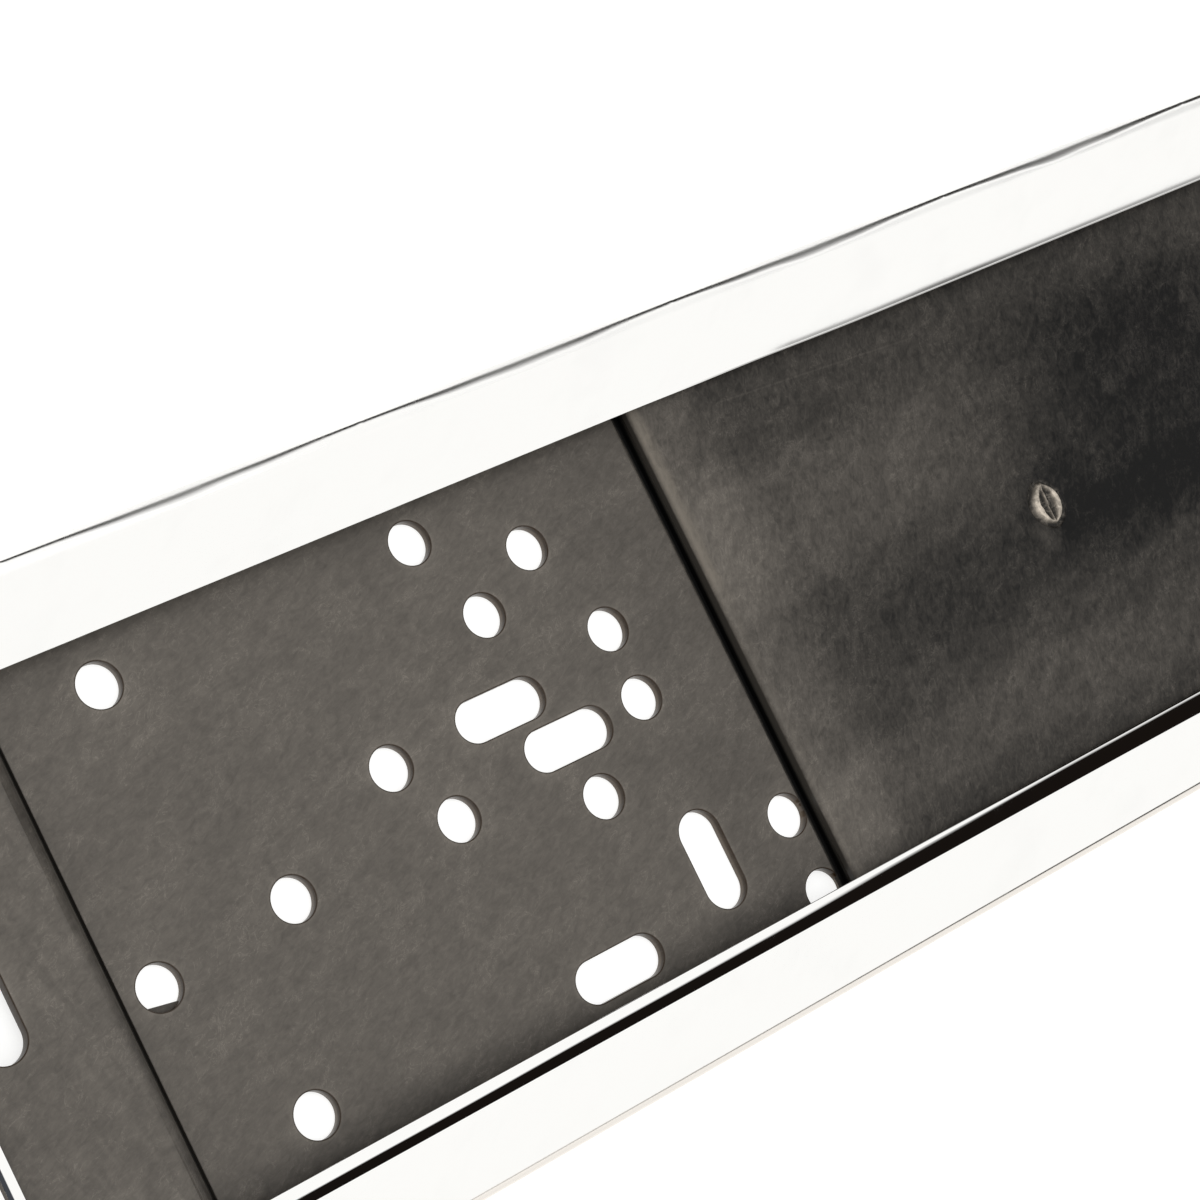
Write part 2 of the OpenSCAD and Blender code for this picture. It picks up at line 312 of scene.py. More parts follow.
class Nodes:
    """A node tree, with the one method that every node comes from."""

    def __init__(self, tree):
        self.tree = tree
        tree.nodes.clear()

    def add(self, kind, settings=(), sockets=(), output=0):
        """Adds a node of a kind, sets its settings, and gives its sockets values or links."""
        node = self.tree.nodes.new("ShaderNode" + kind)
        for name, value in dict(settings).items():
            setattr(node, name, value)
        for name, value in dict(sockets).items():
            if isinstance(value, Socket):
                self.tree.links.new(value.output, node.inputs[name])
            elif node.inputs[name].type == "RGBA":
                node.inputs[name].default_value = (*value, 1)
            else:
                node.inputs[name].default_value = value
        return Socket(self, node.outputs[output] if len(node.outputs) else None)

    def millimetres(self):
        """The object's own coordinates, in millimetres."""
        place = self.add("TexCoord", output="Object")
        return self.add("VectorMath", {"operation": "SCALE"}, {0: place, "Scale": 1000}, "Vector")

    def own(self, name):
        """A number that the mesh itself carries."""
        return self.add("Attribute", {"attribute_name": name}, output="Fac")

    def split(self, vector):
        made = self.add("SeparateXYZ", sockets={0: vector})
        node = made.output.node
        return [Socket(self, output) for output in node.outputs]

    def noise(self, vector, size, detail=2, rough=0.5, warp=0, turn=0, scale=(1, 1, 1)):
        """Cloudy noise from 0 to 1, with features about size millimetres across. They are turned
        about Z by an angle in degrees, and stretched by the scale."""
        turned = self.add("Mapping", {"vector_type": "TEXTURE"}, {
            "Vector": vector, "Rotation": (0, 0, math.radians(turn)), "Scale": scale})
        return self.add("TexNoise", {"noise_dimensions": "3D"}, {
            "Vector": turned, "Scale": 1 / size, "Detail": detail, "Roughness": rough,
            "Distortion": warp}, "Fac")

    def blend(self, factor, first, second):
        """Goes from the first colour to the second as the factor goes from 0 to 1."""
        return self.add("Mix", {"data_type": "RGBA"}, {0: factor, 6: first, 7: second}, 2)

    def shade(self, colour, strength):
        return self.add("VectorMath", {"operation": "SCALE"},
                        {0: colour, "Scale": strength}, "Vector")

    def bump(self, height, depth):
        return self.add("Bump", {}, {"Height": height, "Distance": depth, "Strength": 1.0})


def new_finish(name):
    """A new material and its nodes."""
    material = bpy.data.materials.new(name)
    material.use_nodes = True
    return material, Nodes(material.node_tree)


def end_finish(nodes, **sockets):
    """Ends a material in one Principled shader. The names' underscores stand for spaces."""
    surface = nodes.add("BsdfPrincipled", {}, {k.replace("_", " "): v for k, v in sockets.items()})
    nodes.add("OutputMaterial", {}, {"Surface": surface})


def smooth_step(value, low, high):
    """0 below low and 1 above high, and between them three times the square of the part of the way
    less twice its cube. Low may lie above high."""
    part = np.clip((value - low) / (high - low), 0, 1)
    return part * part * (3 - 2 * part)


def bell(value, width):
    """The exponential of minus the square of a value over a width: 1 in the middle."""
    return np.exp(-(value / width) ** 2)


def ripple(phase, *waves):
    """A sum of sine waves, each with its height, its rate and its start."""
    return sum(height * np.sin(rate * phase + start) for height, rate, start in waves)


def circle(count, radius):
    """Points in X and Y, evenly round a circle about the origin."""
    turn = np.linspace(0, 2 * math.pi, count, endpoint=False)
    return np.stack([np.cos(turn), np.sin(turn)], axis=1) * radius


def at_height(outline, height):
    """An outline of points in X and Y, at one height."""
    return np.column_stack([outline, np.full(len(outline), height)])


def new_mesh(name, points, faces):
    """A mesh from points and faces, with every face turned outwards."""
    mesh = bpy.data.meshes.new(name)
    mesh.from_pydata(np.asarray(points).reshape(-1, 3).tolist(), [], faces)
    shell = bmesh.new()
    shell.from_mesh(mesh)
    bmesh.ops.recalc_face_normals(shell, faces=shell.faces)
    shell.to_mesh(mesh)
    shell.free()
    return mesh


def grid_quads(rows, columns, close_rows=False):
    """The quads of a grid of points whose columns join up into rings."""
    index = np.arange(rows * columns).reshape(rows, columns)
    last = rows if close_rows else rows - 1
    ahead = np.roll(index, -1, axis=0)[:last]
    index = index[:last]
    corners = [index, np.roll(index, -1, axis=1), np.roll(ahead, -1, axis=1), ahead]
    return np.stack(corners, axis=-1).reshape(-1, 4).tolist()


def capped_rings(name, rings):
    """A closed shape from equal rings of points, each joined to the next and both ends capped."""
    points = np.stack(rings)
    rows, count = points.shape[:2]
    caps = [list(range(count)), list(range((rows - 1) * count, rows * count))]
    return new_mesh(name, points, grid_quads(rows, count) + caps)


def joined(meshes):
    """Several meshes put into one."""
    whole = bmesh.new()
    for mesh in meshes:
        whole.from_mesh(mesh)
        bpy.data.meshes.remove(mesh)
    mesh = bpy.data.meshes.new("joined")
    whole.to_mesh(mesh)
    whole.free()
    return mesh


def new_piece(name, mesh):
    piece = bpy.data.objects.new(name, mesh)
    bpy.context.scene.collection.objects.link(piece)
    return piece


def finished(piece):
    """Puts the result of a piece's modifiers into its mesh."""
    shape = piece.evaluated_get(bpy.context.evaluated_depsgraph_get())
    mesh = bpy.data.meshes.new_from_object(shape)
    piece.modifiers.clear()
    old, piece.data = piece.data, mesh
    mesh.name = piece.name
    bpy.data.meshes.remove(old)


def carve(piece, tool_mesh, operation):
    """Joins a closed shape to a piece, or cuts it out."""
    tool = new_piece("tool", tool_mesh)
    work = piece.modifiers.new("carve", "BOOLEAN")
    work.operation = operation
    work.solver = "EXACT"
    work.object = tool
    finished(piece)
    bpy.data.objects.remove(tool)
    bpy.data.meshes.remove(tool_mesh)


def vertex_array(mesh):
    points = np.empty(len(mesh.vertices) * 3)
    mesh.vertices.foreach_get("co", points)
    return points.reshape(-1, 3)


def slope_line(lengths, slopes, counts):
    """A line drawn by its slope. Along each stretch the slope goes evenly from one value to the
    next, and the line is the running sum of short steps, each at the slope halfway along it.
    Lengths and slopes have a row for each stretch or knot, and a column for each place on the
    rail. Returns how far out and how high the points are, and their slopes."""
    mids, steps, knots = [], [], [slopes[:1]]
    for k, count in enumerate(counts):
        part = (np.arange(count)[:, None] + 0.5) / count
        change = slopes[k + 1] - slopes[k]
        mids.append(slopes[k] + change * part)
        steps.append(np.repeat(lengths[k][None] / count, count, axis=0))
        knots.append(slopes[k] + change * (part + 0.5 / count))
    mids, steps = np.concatenate(mids), np.concatenate(steps)
    start = np.zeros_like(mids[:1])
    out = np.concatenate([start, np.cumsum(np.cos(mids) * steps, axis=0)])
    rise = np.concatenate([start, np.cumsum(np.sin(mids) * steps, axis=0)])
    return out, rise, np.concatenate(knots)


def plan_width(length, start, end):
    """The plan width of a stretch: its length times the mean cosine of its slope."""
    turn = np.where(np.abs(end - start) < 1e-6, 1e-6, end - start)
    return length * (np.sin(start + turn) - np.sin(start)) / turn


def sheet_edge(out, rise, slope, radius, turn_from, turn_to, count=11, power=0.35):
    """The cut edge of the sheet: a half circle about the middle of its thickness, made squarer by
    raising its sine and cosine to a power below one. The first and last points are left out,
    because the two faces of the sheet already have them."""
    turn = np.linspace(turn_from, turn_to, count)[1:-1, None]
    middle_out, middle_rise = out + radius * np.sin(slope), rise - radius * np.cos(slope)
    up = np.sign(np.cos(turn)) * np.abs(np.cos(turn)) ** power
    ahead = -np.sign(np.sin(turn)) * np.abs(np.sin(turn)) ** power
    return (middle_out + radius * (ahead * np.cos(slope) - up * np.sin(slope)),
            middle_rise + radius * (ahead * np.sin(slope) + up * np.cos(slope)))


def surround_section(sizes, over, bend, flank, low, high, crease):
    """The closed section of the sheet, for every place along the rails at once. Its upper face
    climbs from the lip up a hollow bevel, turns over a crease, crosses a slightly domed face with
    a fine bead at its outer edge and bends down into the skirt, in two parts of their own radii.
    Its lower face lies one thickness inside, and both edges are slightly rounded. Over says how
    much wider than the others the rail is, and low and high are the bevel's slopes at its edges.
    Returns how far out from the window's edge and how high each point is."""
    # Steps along the lip, bevel, crease, face, the bead's flanks, the bend's parts and the skirt
    counts = (6, 11, 7, 6, 3, 3, 10, 6, 4)
    # The slopes at which the bead meets the bend, and the bend's upper part its lower part
    bead_end, part_end = -3 * sizes.crown, math.radians(-50)
    half = sizes.sheet / 2
    flat = np.zeros_like(bend)
    crown, down = flat + sizes.crown, flat - math.pi / 2
    lip_end = low + (high - low) * sizes.lip_width / sizes.bevel_width
    bead_slope, fall, turned = flat + sizes.bead_slope, flat + bead_end, flat + part_end
    tip = half * (1 - np.sin(low))
    lip, bead = flat + sizes.lip_width, flat + sizes.bead
    bevel_run = sizes.bevel_width - tip - plan_width(lip, low, lip_end)
    bevel = bevel_run / plan_width(1, lip_end, high)
    bow, side = bend * (fall - turned), flank * (turned - down)
    bead_run = plan_width(bead, -crown, bead_slope) + plan_width(bead, bead_slope, fall)
    taken = (sizes.bevel_width + plan_width(crease, high, crown) + bead_run
             + plan_width(bow, fall, turned) + plan_width(side, turned, down))
    face = (sizes.rail_width + over - taken) / plan_width(1, crown, -crown)
    slopes = np.stack([low, lip_end, high, crown, -crown, bead_slope, fall, turned, down])
    lengths = np.stack([lip, bevel, crease, face, bead, bead, bow, side])
    out, rise, slope = slope_line(lengths, slopes, counts[:8])
    out += tip - over
    rise += OUTER_HIGH.z - rise.max(axis=0)
    skirt = np.linspace(0, 1, counts[8] + 1)[1:, None] * (OUTER_LOW.z + half - rise[-1])
    out = np.concatenate([out, np.repeat(out[-1:], counts[8], axis=0)])
    rise = np.concatenate([rise, rise[-1] + skirt])
    slope = np.concatenate([slope, np.repeat(down[None], counts[8], axis=0)])

    under_out = out + sizes.sheet * np.sin(slope)
    under_rise = rise - sizes.sheet * np.cos(slope)
    first = counts[0] + counts[1]
    last = first + counts[2]
    gap_out, gap_rise = under_out[last] - under_out[first], under_rise[last] - under_rise[first]
    reach = (gap_out * np.sin(crown) - gap_rise * np.cos(crown)) / -np.sin(high - crown)
    corner_out = (under_out[first] + reach * np.cos(high))[None]
    corner_rise = (under_rise[first] + reach * np.sin(high))[None]
    bead_at = last + counts[3]
    past_bead = bead_at + counts[4] + counts[5]
    under_out, under_rise = (
        np.concatenate([line[:first - 1], corner, line[last + 1:bead_at - 1], line[past_bead:]])
        for line, corner in ((under_out, corner_out), (under_rise, corner_rise)))

    foot_out, foot_rise = sheet_edge(out[-1], rise[-1], slope[-1], half, 0, -math.pi)
    tip_out, tip_rise = sheet_edge(out[0], rise[0], slope[0], half, -math.pi, -2 * math.pi)
    return (np.concatenate([out, foot_out, under_out[::-1], tip_out]),
            np.concatenate([rise, foot_rise, under_rise[::-1], tip_rise]))


def clip_places(sizes, side):
    """Where the clips stand along the upper rail, side 1, or the lower one, side -1."""
    middle = sizes.upper_clip if side > 0 else sizes.lower_clip
    return middle + sizes.clip_pitch * np.arange(-3, 4)


def rail_places(sizes, reach_x, short_count, corner_count):
    """Places round the surround, anticlockwise from the right rail's lower end. Each has a pair
    that says where along the sides it is, from -1 to 1, and the direction that points outwards.
    The long rails have evenly spaced places, and a few more close round each clip."""
    sides, outward = [], []
    for quarter in range(4):
        turn = quarter * math.pi / 2
        ahead = np.array([-math.sin(turn), math.cos(turn)])
        out = np.array([math.cos(turn), math.sin(turn)])
        along = np.linspace(-1, 1, short_count, endpoint=False)
        if quarter % 2:
            close = clip_places(sizes, out[1])[:, None] + np.linspace(-3, 3, 11) * MM
            even = np.linspace(-1, 1, 170, endpoint=False)
            along = np.unique(np.concatenate([even, ahead[0] * close.ravel() / reach_x]))
            along = along[(along < 1) & (np.diff(along, prepend=-2) > 1e-4)]
        sides.append(out + along[:, None] * ahead)
        outward.append(np.repeat(out[None], len(along), axis=0))
        angle = turn + np.linspace(0, math.pi / 2, corner_count, endpoint=False)
        sides.append(np.repeat((out + ahead)[None], corner_count, axis=0))
        outward.append(np.stack([np.cos(angle), np.sin(angle)], axis=1))
    return np.concatenate(sides), np.concatenate(outward)


def swept_surround(sizes):
    """Carries the section round the window. Near the window a corner turns about the window's own
    corner centre, and near the skirt about the outer corner's, with a smooth change between them.
    On the upper rail the bend is tight at each clip, with a small dent, and widest between two.
    The bevel rocks a little and the crease widens to the right. There the lower rail's lip gets
    steeper, and the upper rail reaches over the window with a shallow bevel and a lip that leans
    down at its edge, most of all at the middle of the rail."""
    half = np.array([OUTER_HIGH.x, OUTER_HIGH.y])
    sides, outward = rail_places(sizes, half[0] - sizes.outer_corner, 40, 14)
    inner = half - sizes.rail_width - sizes.window_corner
    shift = half - sizes.outer_corner - inner
    place = sides * (half - sizes.outer_corner)
    x = place[:, 0]
    upper, on_rail = outward[:, 1] > 0.99, np.abs(outward[:, 1]) > 0.99
    clip = np.where(upper, sizes.upper_clip, sizes.lower_clip)
    past_clip = np.mod((x - clip) / sizes.clip_pitch, 1)
    near_clip = np.abs(past_clip - np.round(past_clip)) * sizes.clip_pitch
    up, down = smooth_step(outward[:, 1], 0.2, 1), smooth_step(-outward[:, 1], 0.2, 1)
    dent = sizes.dent[1] * bell(near_clip, sizes.dent[0]) * upper
    swell = np.sin(math.pi * past_clip) ** 2
    phase = 2 * math.pi * place.sum(axis=1) / sizes.clip_pitch
    rock = ripple(phase, (0.6, 1, 0.4), (0.4, 1.7, 1))
    wave = ripple(phase, (0.12, 2.3, 2), (0.1, 4.1, 0))
    change = up * (sizes.upper_bend + sizes.bend_wave * swell * (1 + wave) - sizes.bend)
    tighter = down * (sizes.lower_bend - sizes.bend)
    bend = sizes.bend + change - dent + tighter
    flank = sizes.bend + up * (sizes.upper_flank - sizes.bend) + tighter
    lean_in, reach_in, crease_in, lift_in = (
        smooth_step(x / MM, *span) * smooth_step(x / MM, *CORNER_SPAN)
        for span in (LEAN_SPAN, REACH_SPAN, CREASE_SPAN, LIFT_SPAN))
    soft = up * lean_in
    over = up * (sizes.upper_reach + sizes.upper_bow * reach_in)
    crease = sizes.crease + sizes.crease_growth * crease_in ** 1.6 * on_rail
    lift = sizes.bevel_lift * down * lift_in * (1 - 0.2 * smooth_step(x / MM, *EASE_SPAN))
    tilt = sizes.bevel_wave * rock * (1 - soft)
    lean = sizes.soft_low - sizes.soft_dip * bell(x, 18 * MM) + sizes.soft_twist * x / 0.1
    low = sizes.bevel_low + soft * (lean - sizes.bevel_low) + tilt + lift
    high = sizes.bevel_high + soft * (sizes.soft_high - sizes.bevel_high) + tilt
    out, rise = surround_section(sizes, over, bend, flank, low, high, crease)
    widen = smooth_step(out, sizes.bevel_width + sizes.sheet, sizes.rail_width - sizes.bend)
    widen = widen[..., None]
    centre = sides * (inner + widen * shift)
    reach = sizes.window_corner + out[..., None] - widen * shift[1]
    points = np.concatenate([centre + outward * reach, rise[..., None]], axis=-1)
    return new_mesh("surround_sheet", points, grid_quads(*points.shape[:2], close_rows=True))


def boxes_mesh(corners):
    """Closed boxes, each from its lowest and highest corner."""
    low, high = np.array(corners).transpose(1, 0, 2)
    ring = np.array([[0, 0, 0], [1, 0, 0], [1, 1, 0], [0, 1, 0]])
    points = low[:, None] + (high - low)[:, None] * np.concatenate([ring, ring + (0, 0, 1)])
    sides = np.array([[3, 2, 1, 0], [4, 5, 6, 7], *grid_quads(2, 4)])
    faces = (np.arange(len(low))[:, None, None] * 8 + sides).reshape(-1, 4).tolist()
    return new_mesh("boxes", points, faces)


def clip_windows(sizes):
    """The windows in the skirt: a box round each clip nose that sticks out of the moulding."""
    points = vertex_array(frame["nodes"]["backing_plate"].data)
    boxes = []
    for side in (-1, 1):
        nose = points[points[:, 1] * side > OUTER_HIGH.y - sizes.sheet + sizes.clip_play]
        for place in clip_places(sizes, side):
            near = nose[np.abs(nose[:, 0] - place) < sizes.clip_pitch / 4]
            low = near.min(axis=0) - sizes.clip_play
            high = near.max(axis=0) + sizes.clip_play
            middle, reach = side * (OUTER_HIGH.y - sizes.sheet / 2), sizes.sheet
            low[1], high[1] = middle - reach, middle + reach
            boxes.append((low, high))
    return boxes_mesh(boxes)


class HOLDER_OT_surround(bpy.types.Operator):
    """Sweeps the polished surround round the window and cuts its clip windows"""
    bl_idname = "holder.surround"
    bl_label = "Surround"

    def execute(self, context):
        sizes = context.scene.holder_surround
        piece = new_piece("surround_sheet", swept_surround(sizes))
        carve(piece, clip_windows(sizes), "DIFFERENCE")
        piece.data.shade_smooth()
        piece.data.set_sharp_from_angle(angle=math.radians(40))
        piece.data.materials.clear()
        piece.data.materials.append(polished_metal(context.scene.holder_metal, sizes))
        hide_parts("surround")
        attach(piece, "root")
        return {"FINISHED"}


def polished_metal(look, sizes):
    """Mirror polish with faint smears and the long, shallow waves of thin pressed sheet. The skirt
    is satin, and so is the lower rail's bend: it lies less than its width inside the outer
    outline, whose distance comes from the straight sides and, at a corner, from the corner's
    centre. The upper rail's bend is hazy, and so is its leaning lip, whose cut edge is grey."""
    material, nodes = new_finish("polished_metal")
    place = nodes.millimetres()
    x, y, z = nodes.split(place)
    radius = sizes.outer_corner / MM
    past_x = (abs(x) - (OUTER_HIGH.x / MM - radius)).larger(0)
    past_y = (abs(y) - (OUTER_HIGH.y / MM - radius)).larger(0)
    inside = radius - (past_x * past_x + past_y * past_y) ** 0.5
    width = (sizes.lower_bend + sizes.bead) / MM
    skirt = (OUTER_HIGH.z - sizes.bend) / MM
    lower_bend = inside.fade(width + 0.25, width - 0.15) * y.fade(*LOWER_SPAN)
    satin = z.fade(skirt - 0.2, skirt - 0.7).larger(lower_bend)
    waves = nodes.noise(place, 14, detail=1, scale=(3, 1, 1))
    smear = nodes.noise(place, 6, detail=4, rough=0.6, turn=35, scale=(4, 1, 1))
    scratch = nodes.noise(place, 0.7, detail=2, turn=8, scale=(40, 1, 1))
    cloud = nodes.noise(place, 9, detail=3, turn=20, scale=(2, 1, 1))
    roughness = (look.polish + look.smears * smear.fade(0.5, 0.8)
                 + look.scratches * scratch.fade(0.6, 0.8))
    half_turns = (x - sizes.upper_clip / MM) * (math.pi * MM / sizes.clip_pitch)
    between = half_turns.math("SINE") ** 2.0
    below = OUTER_HIGH.y / MM - y
    soft = x.fade(*FINISH_SPAN) * x.fade(*FINISH_END)
    upper = y.fade(*UPPER_SPAN)
    lip = below.fade(15.0, 15.8) * soft * look.lip_haze
    haze = inside.fade(4.2, 2.8) * (look.bend_haze + look.swell_haze * between) + lip
    uneven = look.satin - look.polish + 0.08 * (smear - 0.5)
    roughness = roughness + haze * upper + satin * uneven
    stain = 0.02 * cloud.fade(0.45, 0.7) * smear.fade(0.35, 0.6)
    colour = nodes.shade(look.sheet, 1 - stain)
    reach = x.fade(*REACH_SPAN) * x.fade(*CORNER_SPAN) * (sizes.upper_bow / MM)
    edge = reach + (sizes.rail_width + sizes.upper_reach) / MM
    cut = (below - edge).fade(-0.42, -0.2) * soft * upper
    colour = nodes.blend(cut, colour, look.cut_colour)
    # Partly a painted reflection: the satin parts' darker cream colour tones down the bright floor
    # that they reflect
    colour = nodes.blend(satin, colour, look.satin_colour)
    normal = nodes.bump(waves, 0.012 * MM)
    end_finish(nodes, Base_Color=colour, Metallic=1.0, Roughness=roughness, Normal=normal)
    return material


def crossbar(name, sizes, section):
    """A closed section of points in X and Z, carried over the width of the raised panels."""
    return capped_rings(name, [np.insert(section, 1, y, axis=1)
                               for y in (-sizes.seat_half, sizes.seat_half)])


def slot_outline(x, y, length, width, across=False):
    """A hole's outline: two half circles, each about its own end of the slot. In a round hole both
    ends are the middle."""
    turn = (np.arange(HOLE_POINTS // 2) + 0.5) * 2 * math.pi / HOLE_POINTS - math.pi / 2
    reach, radius = max(length - width, 0) / 2, width / 2
    right = np.stack([reach + radius * np.cos(turn), radius * np.sin(turn)], axis=1)
    points = np.concatenate([right, -right])
    if across:
        points = points[:, ::-1] * (-1, 1)
    return points + (x, y)


def raised_block(sizes, start, stop, edge, low):
    """A raised panel's upper part: a section with two quarter circles, across the holder."""
    turn = np.linspace(0, math.pi / 2, 13)
    top = sizes.raised - edge
    right = np.stack([stop - edge + edge * np.cos(turn), top + edge * np.sin(turn)], axis=1)
    left = np.stack([start + edge - edge * np.cos(turn), top + edge * np.sin(turn)], axis=1)
    section = np.concatenate([[[start, low], [stop, low]], right, left[::-1]])
    return crossbar("raised_block", sizes, section)


def openings():
    """The holes and slots of the right half: centre, radius and slot length in millimetres, and
    whether the slot runs across the holder. The left half mirrors them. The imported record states
    the ones that take screws, as pairs."""
    screws = []
    for mount in frame["record"]["mounts"]:
        dims = mount["dims"]
        if mount["kind"] == "bolt_pattern":
            screws.append((dims["spacing_x_mm"] / 2, mount["pos_m"][1] / MM, dims["hole_r_mm"],
                           dims.get("slot_length_mm", 0), False))
    return (*screws, *OTHER_OPENINGS)


def hole_cutter(sizes, x, y, radius, length, across, low, top):
    """One cutter: the hole's outline carried up in rings. It flares by a quarter circle at the
    lower and the upper face, so that the hole comes out with softened edges. Where it starts
    above the back, it stands on a web and has no lower flare."""
    turn = np.linspace(0, math.pi / 2, 4)
    flare = sizes.edge * (1 - np.cos(turn))
    rise = sizes.edge * np.sin(turn)
    grow = np.concatenate([flare, flare[-1:]])
    level = np.concatenate([top - sizes.edge + rise, [top + PAST]])
    if low > 0:
        grow, level = np.insert(grow, 0, 0), np.insert(level, 0, low)
    else:
        grow = np.concatenate([flare[-1:], flare[::-1], grow])
        level = np.concatenate([[-PAST], sizes.edge - rise[::-1], level])
    whole = max(length, 2 * radius)
    return capped_rings("hole", [
        at_height(slot_outline(x, y, whole + 2 * wider, 2 * (radius + wider), across), height)
        for wider, height in zip(grow, level)])


def groove_cutters(sizes):
    """Cutters that round off the hole panels' edges along the grooves by a quarter circle."""
    cutters = []
    turn = np.linspace(0, math.pi / 2, 7)
    for place, side, edge in ((sizes.groove_side, 1, sizes.groove_edge),
                              (sizes.end_from - sizes.end_groove, -1, sizes.edge)):
        across = place + side * edge * (1 - np.cos(turn))
        up = sizes.wall - edge + edge * np.sin(turn)
        over = sizes.wall + PAST
        back = place - side * 0.5 * PAST
        section = np.concatenate([np.stack([across, up], axis=1),
                                  [[across[-1], over], [back, over], [back, up[0]]]])
        cutters += [crossbar("groove", sizes, section * (half, 1)) for half in (-1, 1)]
    return joined(cutters)


def hole_cutters(sizes):
    """Cutters for every hole, a hair wider than in the solid, which leaves true circles."""
    cutters = []
    for x, y, radius, length, across in openings():
        top = sizes.raised if x * MM > sizes.end_from else sizes.wall
        for side in (-1, 1):
            low = sizes.web if (side * x, y) == WEB_HOLE else 0
            cutters.append(hole_cutter(sizes, side * x * MM, y * MM, (radius + HOLE_HAIR) * MM,
                                       length * MM, across, low, top))
    return joined(cutters)


def almond_depth(u, v, length, width):
    """How far a point is inside an almond, which is where two equal circles overlap: the radius
    less the distance to the farther circle's centre. It is negative outside."""
    radius = (length ** 2 + width ** 2) / (4 * width)
    return radius - np.hypot(np.abs(u) + radius - width / 2, v)


def gate_parts(gate, x, y):
    """Heights and masks of the gate mark at places in X and Y: the dish falls by a smooth step
    from its rim to its middle, the moat and the almond step down and up over a short flank, and
    the pit along the almond's middle holds a ragged crest. Two nibs stand at its upper tip."""
    u, v = x - gate.place[0], y - gate.place[1]
    lean = u - 0.07 * v
    ragged = (ripple(v / MM, (0.16, 1 / 0.62, 0), (0.1, 1 / 0.29, 1))
              + ripple(lean / MM, (0.07, 1 / 0.21, 0)))
    moat = smooth_step(almond_depth(u, v, *gate.moat), -0.1 * MM, 0.45 * MM)
    inside = almond_depth(u, v, *gate.almond) + 0.1 * ragged * MM
    almond = smooth_step(inside, -0.05 * MM, 0.75 * MM)
    pit = smooth_step(almond_depth(lean - 0.1 * MM, v, *gate.pit) + 0.5 * ragged * MM,
                      -0.15 * MM, 0.4 * MM)
    crest = bell(lean + 0.5 * ragged * MM, 0.22 * MM) * pit
    nibs = bell(v - 4.1 * MM, 0.45 * MM) * bell(np.abs(u) - 0.55 * MM, 0.25 * MM)
    dish = smooth_step(np.hypot(u, v), gate.dish[0], 0)
    height = -gate.dish[1] * dish + MM * (
        0.95 * almond - 0.32 * moat + (0.25 * ragged - 0.75) * pit + (0.55 + ragged) * crest
        + 0.4 * nibs)
    ring = moat * (1 - almond)
    return height, np.clip(almond + 0.35 * nibs, 0, 1), pit, crest, ring


def gate_plug(sizes, gate):
    """A round plug whose top carries the gate mark, on evenly spaced rings."""
    rings = [at_height(circle(180, reach) + np.array(gate.place), sizes.raised + 0.002 * MM)
             for reach in gate.dish[0] * np.linspace(0.004, 1, 96)]
    for ring in rings:
        ring[:, 2] += gate_parts(gate, ring[:, 0], ring[:, 1])[0]
    under = at_height(rings[-1][:, :2], sizes.raised - PLUG_DEPTH)
    return capped_rings("gate_plug", [*rings, under])


def edged_moulding(sizes):
    """The moulding from its solid, merged, with finely rounded raised panels, true round holes and
    softened edges."""
    shell = bmesh.new()
    shell.from_mesh(frame["nodes"]["backing_plate"].data)
    bmesh.ops.remove_doubles(shell, verts=shell.verts, dist=1e-6)
    mesh = bpy.data.meshes.new("moulding")
    shell.to_mesh(mesh)
    shell.free()
    piece = new_piece("moulding", mesh)
    hair = BLOCK_HAIR * MM
    middle, low = sizes.middle_half + hair, sizes.raised - sizes.wall + 0.1 * MM
    blocks = [raised_block(sizes, -middle, middle, sizes.middle_edge, low)]
    for side in (-1, 1):
        start, stop = sorted((side * (sizes.end_from - hair), side * (sizes.end_to + hair)))
        blocks.append(raised_block(sizes, start, stop, sizes.end_edge,
                                   sizes.raised - sizes.end_edge))
    carve(piece, joined(blocks), "UNION")
    carve(piece, groove_cutters(sizes), "DIFFERENCE")
    carve(piece, hole_cutters(sizes), "DIFFERENCE")
    return piece


def mark_faces(piece, sizes, gate):
    """Shades large flat faces flat and the rest smooth, and stores which faces are steep, which
    are walls, where the gate's torn plastic lies, with a painted highlight on its lower half, and
    where its hollows lie, for painted shade."""
    mesh = piece.data
    normals = np.empty(len(mesh.polygons) * 3)
    mesh.polygons.foreach_get("normal", normals)
    normals = normals.reshape(-1, 3)
    flat = np.abs(normals[:, 2]) > 0.9999
    mesh.shade_smooth()
    mesh.set_sharp_from_angle(angle=math.radians(50))
    mesh.polygons.foreach_set("use_smooth", ~flat)
    points = vertex_array(mesh)
    height, almond, pit, crest, ring = gate_parts(gate, points[:, 0], points[:, 1])
    top = points[:, 2] > sizes.raised - SEAT_DEPTH
    # Painted highlight: above the gate's middle the torn plastic is only half as strong, so its
    # lower half is painted lighter
    upper = smooth_step(points[:, 1] - gate.place[1], 1 * MM, 4 * MM)
    torn = np.clip(almond * (1 - pit) * (1 - 0.5 * upper) + 0.7 * crest, 0, 1)
    # Painted shade in the gate's pit and in the moat round the almond
    pitted = np.clip(pit * (1 - crest) + 0.6 * ring, 0, 1)
    for name, domain, values in (("steep", "FACE", smooth_step(normals[:, 2], 0.4, 0.06)),
                                 ("wall", "FACE", smooth_step(normals[:, 2], 0.2, 0.1)),
                                 ("torn", "POINT", top * torn), ("pitted", "POINT", top * pitted)):
        mesh.attributes.new(name, "FLOAT", domain).data.foreach_set("value", values)


